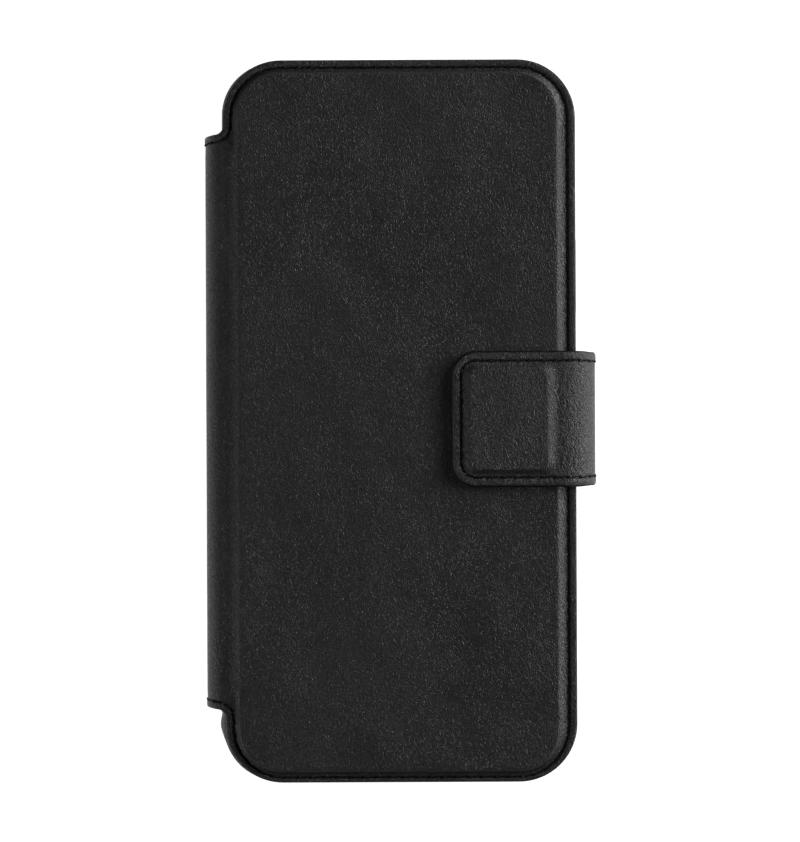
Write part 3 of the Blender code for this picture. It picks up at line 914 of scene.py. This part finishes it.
BAND_FAR_X = BEND_X + over_length(STRAP_MIDDLE_Z - STRAP_ROOT_Z)


def band_edge(side):
    """One long free edge of the lower band."""
    y = TAB_HIGH.y if side > 0 else TAB_LOW.y

    def outline(inset):
        level = y - side * inset
        return run((ROOT_NEAR_X, level), (BAND_FAR_X, level), FREE_STEP) + [(BAND_FAR_X, level)]
    return outline


def strap_root():
    """The lower half of the band, from between the rear cover's layers up the side."""
    bm = bmesh.new()
    sides = [sweep(bm, band_edge(side), strap_profile()) for side in (-1, 1)]
    for a, b in zip(*sides):
        ends = chain_ends(a) + chain_ends(b)
        near = [v for v in ends if abs(v.co.x - ROOT_NEAR_X) < MM / 10]
        far = [v for v in ends if v not in near]
        fill(bm, a + b + [bm.edges.new(near), bm.edges.new(far)])
    cut_across(bm, [39 * MM, 40 * MM] + steps_between(BEND_X, BEND_X + BEND_LENGTH, BEND_CUTS))
    cut_across(bm, steps_between(BEND_X + BEND_LENGTH, BAND_FAR_X, WALL_CUTS)[1:-1])
    cut_along(bm, steps_between(TAB_LOW.y + 3 * MM, TAB_HIGH.y - 3 * MM, 16))
    put_on(bm, on_band)
    band = add_piece("strap_band_skin", bm, "strap_leather",
                     stands_for=("strap_band_leather", "strap_band_lining"))
    blend_band(band)


# Section of the paint bead in millimetres: inset from the leather's edge, and depth; the negative insets
# stand it out past the edge, where its black is a painted shadow line
INK_AND_SHADOW = [(0.02, 0.25), (-0.14, 0.32), (-0.26, 0.6), (-0.28, 0.8), (-0.24, 1.05), (0.02, 1.25)]


def edge_ink(name, outlines, place, blend):
    """The bead of black paint that seals the strap's cut edge; standing out past the edge, it also paints
    the shadow line round the tab.
    """
    bm = bmesh.new()
    for outline in outlines:
        first, last = sweep(bm, outline, [(inset * MM, depth * MM) for inset, depth in INK_AND_SHADOW])
        bmesh.ops.bridge_loops(bm, edges=first + last)
    cut_across(bm, steps_between(BEND_X - 3 * MM, ROLL_END, 26))
    put_on(bm, place)
    blend(add_piece(name, bm, "edge_ink"))


def edge_inks_and_painted_shadows():
    # the tab's bead stands out past its edge as a painted shadow line round the tab
    edge_ink("tab_edge_ink", [tab_edge], roll, blend_tab)
    edge_ink("band_edge_ink", [band_edge(-1), band_edge(1)], on_band, blend_band)


# ---------------------------------------------------------------- seams

def path_length(points):
    return sum(math.dist(a, b) for a, b in zip(points, points[1:]))


def walk(points, distance):
    """The point and the direction at a distance along a path."""
    for a, b in zip(points, points[1:]):
        length = math.dist(a, b)
        if distance <= length and length > 0:
            t = distance / length
            return Vector((a[0] + (b[0] - a[0]) * t, a[1] + (b[1] - a[1]) * t)), (
                Vector((b[0] - a[0], b[1] - a[1])) / length)
        distance -= length
    a, b = points[-2:]
    return Vector(b), (Vector(b) - Vector(a)).normalized()


def add_stitch(bm, center, direction, depth, length, width, height, turn=STITCH_TURN):
    """One stitch: a plump grain of thread, turned a little across the seam."""
    angle = math.atan2(direction.y, direction.x) + math.radians(turn)
    matrix = Matrix.LocRotScale(Vector((center.x, center.y, depth)),
                                Matrix.Rotation(angle, 3, 'Z'), Vector((length, width, height)) / 2)
    lying = Matrix.Rotation(math.radians(90), 4, 'Y')
    bmesh.ops.create_uvsphere(bm, u_segments=8, v_segments=6, radius=1, matrix=matrix @ lying)


def seam(name, paths, depth, place, blend, nodes=()):
    """Stitches along flat paths, wrapped onto the case with the skin they are sewn through; at each needle
    hole a thread-coloured mark stands for the thread in the hole and the hole's painted shade.
    """
    threads, holes = bmesh.new(), bmesh.new()
    s = sizes()
    for points in paths:
        total = path_length(points)
        count = max(1, round(total / PITCH))
        pitch = total / count
        for i in range(count):
            at, direction = walk(points, (i + 0.5) * pitch)
            add_stitch(threads, at, direction, depth, s.stitch_length, s.stitch_width, STITCH_HEIGHT)
        # a dark mark at each needle hole: the thread in it and the hole's painted shade
        for i in range(count + 1):
            at, direction = walk(points, i * pitch)
            aside = Vector((-direction.y, direction.x)) * HOLE_ASIDE
            add_stitch(holes, at + aside, direction, depth + HOLE_SUNK, *HOLE_SHADE, turn=HOLE_TURN)
    for part, suffix in ((threads, ""), (holes, "_holes")):
        for v in part.verts:
            v.co = place(v.co)
        turn_out(part)
        blend(add_piece(name + suffix, part, "seam_thread",
                        stands_for=() if suffix else nodes))


def front_place(co):
    """Place a point that lies on the front skin's waved face."""
    x, y, depth = co
    return on_front(Vector((x, y, depth + front_relief(x, y))))


def seams():
    inset, strap_inset = sizes().seam_inset, sizes().strap_seam_inset
    seam("front_seam", [front_edge(inset)], SEAM_DEPTH, front_place, blend_cover, ("front_stitching",))
    seam("strap_seam", [tab_edge(strap_inset)], SEAM_DEPTH, tab_place, blend_tab, ("strap_stitching",))
    seam("rear_seam", [rear_edge(inset)], REAR_SEAM_DEPTH, on_rear, blend_spine)
    roots = [band_edge(side)(strap_inset) for side in (-1, 1)]
    seam("strap_root_seam", roots, SEAM_DEPTH, on_band, blend_band)


# ---------------------------------------------------------------- linings and pockets

LINING_DEPTH = SANDWICH + 0.04 * MM
LINING_THICK = 0.26 * MM


def lining_profile():
    low, high = LINING_DEPTH, LINING_DEPTH + LINING_THICK
    return [(2.4 * MM, low), (0.95 * MM, low), (0.85 * MM, low + 0.08 * MM),
            (0.88 * MM, high - 0.06 * MM), (1.0 * MM, high), (2.4 * MM, high)]


def inner_sheet(name, outline, far_x, place, nodes, window=None):
    """The lining on the inner face of a cover and its half of the spine."""
    bm = bmesh.new()
    low, high = sweep(bm, outline, lining_profile())
    extra = [[], []]
    if window:
        for i, depth in enumerate((LINING_DEPTH, LINING_DEPTH + LINING_THICK)):
            extra[i] = closed_chain(bm, window(0.3 * MM), depth)
    fill(bm, close_chain(bm, low) + extra[0])
    fill(bm, close_chain(bm, high) + extra[1])
    if window:
        bmesh.ops.bridge_loops(bm, edges=extra[0] + extra[1])
    cut_across(bm, spine_cuts(far_x) + [-38 * MM, -36 * MM])
    put_on(bm, place)
    return add_piece(name, bm, "microfibre", stands_for=nodes)


def linings():
    blend_cover(inner_sheet("front_inner_lining", front_edge, FRONT_FAR_X, on_front,
                            ("front_lining", "spine_lining")))
    blend_spine(inner_sheet("rear_inner_lining", rear_edge, REAR_FAR_X, on_rear,
                            ("rear_lining",), window_edge))


NOTCH_DEPTH = 5.5 * MM
NOTCH_HALF = 11 * MM
POCKET_EDGE = 0.09 * MM
POCKET_BAND = 0.7 * MM
POCKET_SEAM_INSET = 1.6 * MM
POCKET_THREAD = 0.8              # width of the pockets' thread against the outer seams' one
POCKET_STITCH_HEIGHT = 0.22 * MM


def pocket_outline(inset, left, right, top, notch):
    """A pocket sheet cut off straight at its mouth, on the left, with a shallow thumb notch."""
    radius = COVER_R - 0.8 * MM - inset
    half, reach = right - inset, top - inset
    whole = rounded_rect(-half, half, -reach, reach, [radius] * 4, 14, 6, 12)
    left += inset
    past = max(0.0, radius - half - left)
    end = reach - radius + math.sqrt(radius * radius - past * past)
    points = [p for p in whole if p[0] > left + MM / 4]
    points.append((left, end))
    for t in steps_between(1.0, -1.0, 16):
        points.append((left + notch * (1 - ease(abs(t))), t * NOTCH_HALF))
    return points + [(left, -end)]


def pockets():
    for name in ("cash_pocket", "card_pocket_1", "card_pocket_2", "card_pocket_3"):
        low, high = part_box(name)
        notch = 0.0 if name == "cash_pocket" else NOTCH_DEPTH

        def outline(inset):
            return pocket_outline(inset, low.x, high.x, high.y, notch)
        bm = bmesh.new()
        profile = [(POCKET_BAND, low.z), (POCKET_EDGE, low.z), (0, low.z + POCKET_EDGE),
                   (0, high.z - POCKET_EDGE), (POCKET_EDGE, high.z), (POCKET_BAND, high.z)]
        first, last = sweep(bm, outline, profile, closed=True)
        fill(bm, first)
        fill(bm, last)
        seal(bm)
        add_piece(name + "_sheet", bm, "pocket_leather", "front_cover", (name,))
        if notch:
            pocket_seam(name, low, high)


def pocket_seam(name, low, high):
    """The fold seam along a pocket's mouth, on the side that faces the phone."""
    bm = bmesh.new()
    s = sizes()
    x = low.x + POCKET_SEAM_INSET
    for sign in (-1, 1):
        start, end = sign * (NOTCH_HALF + 2 * MM), sign * (high.y - 5 * MM)
        count = round(abs(end - start) / PITCH)
        for i in range(count):
            y = start + (end - start) * (i + 0.5) / count
            add_stitch(bm, Vector((x, y)), Vector((0, 1)), low.z, s.stitch_length,
                       s.stitch_width * POCKET_THREAD, POCKET_STITCH_HEIGHT)
    turn_out(bm)
    add_piece(name + "_seam", bm, "seam_thread", "front_cover")


# ---------------------------------------------------------------- shell and buttons

SHELL_R = 12.0 * MM
SHELL_WALL = 1.2 * MM
SHELL_LIP = 1.9 * MM
FLOOR_THICK = 1.1 * MM
LIP_HEIGHT = 0.8 * MM
WINDOW_INSET = 1.2 * MM
THROUGH = 4 * MM                 # how far a cutter reaches to both sides of what it cuts
PORT_LEFT, PORT_RIGHT = -21.15 * MM, 20.5 * MM
PORT_LOW, PORT_HIGH = 5.7 * MM, 11.3 * MM
PORT_R = 2.7 * MM
BUTTON_GAP = 0.25 * MM
BUTTON_SLOT_R = 1.5 * MM
BUTTON_R = 1.4 * MM
BUTTON_CROWN = 0.4 * MM
BUTTONS = ("volume_up_button", "volume_down_button", "action_button", "side_button")


def shell_edge(inset):
    radii = [SHELL_R - inset] * 4
    return rounded_rect(SHELL_LOW.x + inset, SHELL_HIGH.x - inset, SHELL_LOW.y + inset,
                        SHELL_HIGH.y - inset, radii, 18, 6, 12)


def prism(name, points, low, high):
    bm = bmesh.new()
    first = closed_chain(bm, points, low)
    faces = bmesh.ops.contextual_create(bm, geom=first)["faces"]
    out = bmesh.ops.extrude_face_region(bm, geom=faces)["geom"]
    verts = [g for g in out if isinstance(g, bmesh.types.BMVert)]
    bmesh.ops.translate(bm, verts=verts, vec=(0, 0, high - low))
    turn_out(bm)
    mesh = bpy.data.meshes.new(name)
    bm.to_mesh(mesh)
    bm.free()
    obj = bpy.data.objects.new(name, mesh)
    bpy.context.scene.collection.objects.link(obj)
    return obj


def cut_away(target, cutters):
    """Subtract the cutters for good and remove them."""
    for cutter in cutters:
        cut = target.modifiers.new("cut", 'BOOLEAN')
        cut.operation = 'DIFFERENCE'
        cut.object = cutter
    bpy.context.view_layer.update()
    done = bpy.data.meshes.new_from_object(target.evaluated_get(bpy.context.evaluated_depsgraph_get()))
    target.modifiers.clear()
    target.data = done
    for cutter in cutters:
        bpy.data.objects.remove(cutter)
    done.shade_smooth()
    done.set_sharp_from_angle(angle=math.radians(SHELL_SHARP))


HEIGHT_TO_X = Matrix(((0, 0, 1, 0), (1, 0, 0, 0), (0, 1, 0, 0), (0, 0, 0, 1)))
HEIGHT_TO_Y = Matrix(((1, 0, 0, 0), (0, 0, 1, 0), (0, 1, 0, 0), (0, 0, 0, 1)))


def turned_x(obj):
    """Stand a flat prism on its side, so that its height runs along X."""
    obj.data.transform(HEIGHT_TO_X)


def turned_y(obj):
    """Stand a flat prism up, so that its height runs along Y."""
    obj.data.transform(HEIGHT_TO_Y)
    obj.data.flip_normals()


def phone_shell():
    e = sizes().corner
    low, high = SHELL_LOW.z, SHELL_HIGH.z
    under = high - LIP_HEIGHT
    curve = [math.radians(a) for a in (0, 22.5, 45, 67.5, 90)]
    profile = [(e * (1 - math.sin(a)), low + e * (1 - math.cos(a))) for a in curve]
    profile += [(e * (1 - math.cos(a)), high - e * (1 - math.sin(a))) for a in curve]
    profile += [(SHELL_LIP - 0.2 * MM, high), (SHELL_LIP, high - 0.2 * MM), (SHELL_LIP, under + 0.2 * MM),
                (SHELL_WALL, under - 0.3 * MM), (SHELL_WALL, low + FLOOR_THICK + 0.5 * MM),
                (SHELL_WALL + 0.5 * MM, low + FLOOR_THICK), (SHELL_WALL + 3 * MM, low + FLOOR_THICK)]
    bm = bmesh.new()
    first, last = sweep(bm, shell_edge, profile, closed=True)
    bmesh.ops.contextual_create(bm, geom=first)
    bmesh.ops.contextual_create(bm, geom=last)
    turn_out(bm)
    shell = add_piece("moulded_shell", bm, "shell_plastic", "root", ("phone_shell",))
    window = prism("window_cut", window_edge(-WINDOW_INSET), low - THROUGH, low + THROUGH)
    port_edge = rounded_rect(PORT_LEFT, PORT_RIGHT, PORT_LOW, PORT_HIGH, [PORT_R] * 4, 8)
    port = prism("port_cut", port_edge, SHELL_LOW.y - THROUGH, SHELL_LOW.y + THROUGH)
    turned_y(port)
    cutters = [window, port]
    for name in BUTTONS:
        a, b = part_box(name)
        x = SHELL_LOW.x if a.x < 0 else SHELL_HIGH.x
        slot_edge = rounded_rect(a.y - BUTTON_GAP, b.y + BUTTON_GAP, a.z - BUTTON_GAP,
                                 b.z + BUTTON_GAP, [BUTTON_SLOT_R] * 4, 6)
        slot = prism(name + "_cut", slot_edge, x - THROUGH, x + THROUGH)
        turned_x(slot)
        cutters.append(slot)
    cut_away(shell, cutters)


def button_cap(name, low, high):
    """A rounded plate whose outer face is softly crowned."""
    bm = bmesh.new()
    side = -1 if low.x < 0 else 1
    inner, outer = (high.x, low.x) if side < 0 else (low.x, high.x)

    def outline(inset):
        return rounded_rect(low.y + inset, high.y - inset, low.z + inset, high.z - inset,
                            [BUTTON_R - inset] * 4, 8)
    profile = [(0, inner)]
    for a in (math.radians(d) for d in (0, 30, 60, 90)):
        sunk = BUTTON_CROWN * (1 - math.sin(a))
        profile.append((BUTTON_CROWN * (1 - math.cos(a)), outer - side * sunk))
    first, last = sweep(bm, outline, profile, closed=True)
    bmesh.ops.contextual_create(bm, geom=first)
    bmesh.ops.contextual_create(bm, geom=last)
    bmesh.ops.transform(bm, verts=bm.verts[:], matrix=HEIGHT_TO_X)
    turn_out(bm)
    return add_piece(name, bm, "button_plastic")


def buttons():
    for name in BUTTONS:
        cap = button_cap(name + "_cap_skin", *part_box(name))
        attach(cap, name + "_cap")
        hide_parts(name)


def window_ring():
    """The camera window's ring, from the rear skin up to the shell."""
    bm = bmesh.new()
    low, high = RING_LOW.z, SHELL_LOW.z - 0.05 * MM
    soft = 0.25 * MM
    profile = [(-WINDOW_INSET, high), (-WINDOW_INSET, low + soft), (-WINDOW_INSET + soft, low + 0.04 * MM),
               (-0.3 * MM, low + 0.02 * MM), (0, low + soft), (0, high), (-WINDOW_INSET, high)]
    sweep(bm, window_edge, profile, closed=True)
    bmesh.ops.remove_doubles(bm, verts=bm.verts[:], dist=1e-6)
    turn_out(bm)
    add_piece("window_ring", bm, "button_plastic", "root", ("camera_ring",))


def floor_liner():
    """Microfibre on the shell's floor."""
    bm = bmesh.new()
    low, high = LINER_LOW.z - 0.2 * MM, LINER_HIGH.z

    def outline(inset):
        return shell_edge(SHELL_WALL + 0.3 * MM + inset)
    first, last = sweep(bm, outline, [(0.6 * MM, low), (0, low), (0, high - 0.12 * MM),
                                      (0.12 * MM, high), (0.6 * MM, high)], closed=True)
    holes = [closed_chain(bm, window_edge(-WINDOW_INSET + 0.6 * MM), z) for z in (low, high)]
    fill(bm, first + holes[0])
    fill(bm, last + holes[1])
    bmesh.ops.bridge_loops(bm, edges=holes[0] + holes[1])
    seal(bm)
    add_piece("floor_liner", bm, "microfibre", "root", ("shell_liner",))


HIDDEN_LAYERS = (
    ("rear_board", "fibre_board", "board"), ("front_board", "fibre_board", "board"),
    ("spine_board", "fibre_board", "board"), ("cover_magnet", "magnet_plate", "magnet"),
)


def hidden_layers():
    """Better materials for the layers that stay as they are."""
    for name, finish, slot in HIDDEN_LAYERS:
        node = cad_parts[name]
        node.data.materials.clear()
        node.data.materials.append(material(finish))


# ---------------------------------------------------------------- stage

LIGHTS = (          # name, place and size in metres, power in watts
    ("right_box", (0.75, 0.3, 0.34), (0.9, 0.34), 6.2),
    ("right_low_box", (0.8, 0.25, 0.2), (0.9, 0.25), 4.9),
    ("left_box", (-0.7, -0.25, 0.4), (0.8, 0.35), 2.8),
)
LIT_POINT = Vector((0, 0, 0.01))
WORLD_STRENGTH = 0.003
FLOOR_HALF = 3.0
FLOOR_DROP = 0.05 * MM
CAMERA_DISTANCE = 2.4
VIEW_HEIGHT = 192.25 * MM         # what the camera's frame shows at the front cover
CAMERA_TILT = -0.24               # degrees


def area_light(name, place, size, power):
    """A soft box that looks at the case."""
    data = bpy.data.lights.new(name, 'AREA')
    data.shape = 'RECTANGLE'
    data.size, data.size_y = size
    data.energy = power
    obj = bpy.data.objects.new(name, data)
    obj.location = place
    obj.rotation_euler = (LIT_POINT - Vector(place)).to_track_quat('-Z', 'Y').to_euler()
    bpy.context.scene.collection.objects.link(obj)


def stage():
    """Floor, lights, world and camera."""
    bm = bmesh.new()
    bmesh.ops.create_grid(bm, x_segments=1, y_segments=1, size=FLOOR_HALF)
    mesh = bpy.data.meshes.new("floor")
    bm.to_mesh(mesh)
    bm.free()
    floor = bpy.data.objects.new("floor", mesh)
    floor.location = (0, 0, -FLOOR_DROP)
    mesh.materials.append(material("pale_floor"))
    bpy.context.scene.collection.objects.link(floor)
    for light in LIGHTS:
        area_light(*light)
    world = bpy.data.worlds.new("studio")
    world.use_nodes = True
    background = world.node_tree.nodes["Background"]
    background.inputs["Color"].default_value = (1, 1, 1, 1)
    background.inputs["Strength"].default_value = WORLD_STRENGTH
    scene = bpy.context.scene
    scene.world = world
    scene.view_settings.view_transform = 'Standard'
    camera = bpy.data.cameras.new("camera")
    camera.sensor_width = 36
    camera.lens = camera.sensor_width * CAMERA_DISTANCE / VIEW_HEIGHT
    eye = bpy.data.objects.new("camera", camera)
    eye.location = (0, 0, BORDER_Z + CAMERA_DISTANCE)
    eye.rotation_euler = (0, 0, math.radians(CAMERA_TILT))
    scene.collection.objects.link(eye)
    scene.camera = eye


# ---------------------------------------------------------------- operators and panel

class CaseOperator(bpy.types.Operator):
    """Base of the case's operators."""

    bl_options = {'REGISTER', 'UNDO'}


class CASE_OT_front_skin(CaseOperator):
    """Front cover's leather with its raised panel and crease, down to the middle of the spine"""
    bl_idname = "case.front_skin"
    bl_label = "Front skin"

    def execute(self, context):
        front_skin()
        return {'FINISHED'}


class CASE_OT_rear_skin(CaseOperator):
    """Rear cover's leather with the camera window, up to the middle of the spine"""
    bl_idname = "case.rear_skin"
    bl_label = "Rear skin"

    def execute(self, context):
        rear_skin()
        return {'FINISHED'}


class CASE_OT_strap(CaseOperator):
    """The strap's tab with its pad, and its band round the side"""
    bl_idname = "case.strap"
    bl_label = "Strap"

    def execute(self, context):
        strap_tab()
        strap_root()
        edge_inks_and_painted_shadows()
        return {'FINISHED'}


class CASE_OT_seams(CaseOperator):
    """The stitches of every outer seam, with dark marks at the needle holes: the thread in them and their
    painted shade
    """
    bl_idname = "case.seams"
    bl_label = "Seams"

    def execute(self, context):
        seams()
        return {'FINISHED'}


class CASE_OT_linings(CaseOperator):
    """The microfibre on the inner faces"""
    bl_idname = "case.linings"
    bl_label = "Linings"

    def execute(self, context):
        linings()
        return {'FINISHED'}


class CASE_OT_pockets(CaseOperator):
    """The note pocket and the card pockets in the front cover"""
    bl_idname = "case.pockets"
    bl_label = "Pockets"

    def execute(self, context):
        pockets()
        return {'FINISHED'}


class CASE_OT_phone_shell(CaseOperator):
    """The moulded shell, its buttons, its liner and the ring of the camera window"""
    bl_idname = "case.phone_shell"
    bl_label = "Phone shell"

    def execute(self, context):
        phone_shell()
        buttons()
        window_ring()
        floor_liner()
        return {'FINISHED'}


class CASE_OT_hidden_layers(CaseOperator):
    """Boards and magnet between the leather and the lining"""
    bl_idname = "case.hidden_layers"
    bl_label = "Hidden layers"

    def execute(self, context):
        hidden_layers()
        return {'FINISHED'}


class CASE_OT_stage(CaseOperator):
    """Floor, soft light and camera"""
    bl_idname = "case.stage"
    bl_label = "Stage"

    def execute(self, context):
        stage()
        return {'FINISHED'}


OPERATORS = (CASE_OT_stage, CASE_OT_front_skin, CASE_OT_rear_skin, CASE_OT_strap, CASE_OT_seams,
             CASE_OT_linings, CASE_OT_pockets, CASE_OT_phone_shell, CASE_OT_hidden_layers)


class CASE_PT_panel(bpy.types.Panel):
    """Everything the case is made of"""
    bl_idname = "CASE_PT_panel"
    bl_label = "Phone Case"
    bl_space_type = 'VIEW_3D'
    bl_region_type = 'UI'
    bl_category = "Phone Case"

    def draw(self, context):
        layout = self.layout
        for group in (context.scene.case_sizes, context.scene.case_colors):
            box = layout.box()
            for name in type(group).__annotations__:
                box.prop(group, name)
        for operator in OPERATORS:
            layout.operator(operator.bl_idname)


CLASSES = (CaseSizes, CaseColors, *OPERATORS, CASE_PT_panel)


def register():
    for cls in CLASSES:
        bpy.utils.register_class(cls)
    bpy.types.Scene.case_sizes = PointerProperty(type=CaseSizes)
    bpy.types.Scene.case_colors = PointerProperty(type=CaseColors)


def unregister():
    del bpy.types.Scene.case_colors
    del bpy.types.Scene.case_sizes
    for cls in reversed(CLASSES):
        bpy.utils.unregister_class(cls)


def main():
    register()
    for operator in OPERATORS:
        group, name = operator.bl_idname.split(".")
        getattr(getattr(bpy.ops, group), name)()


if __name__ == "__main__":
    main()
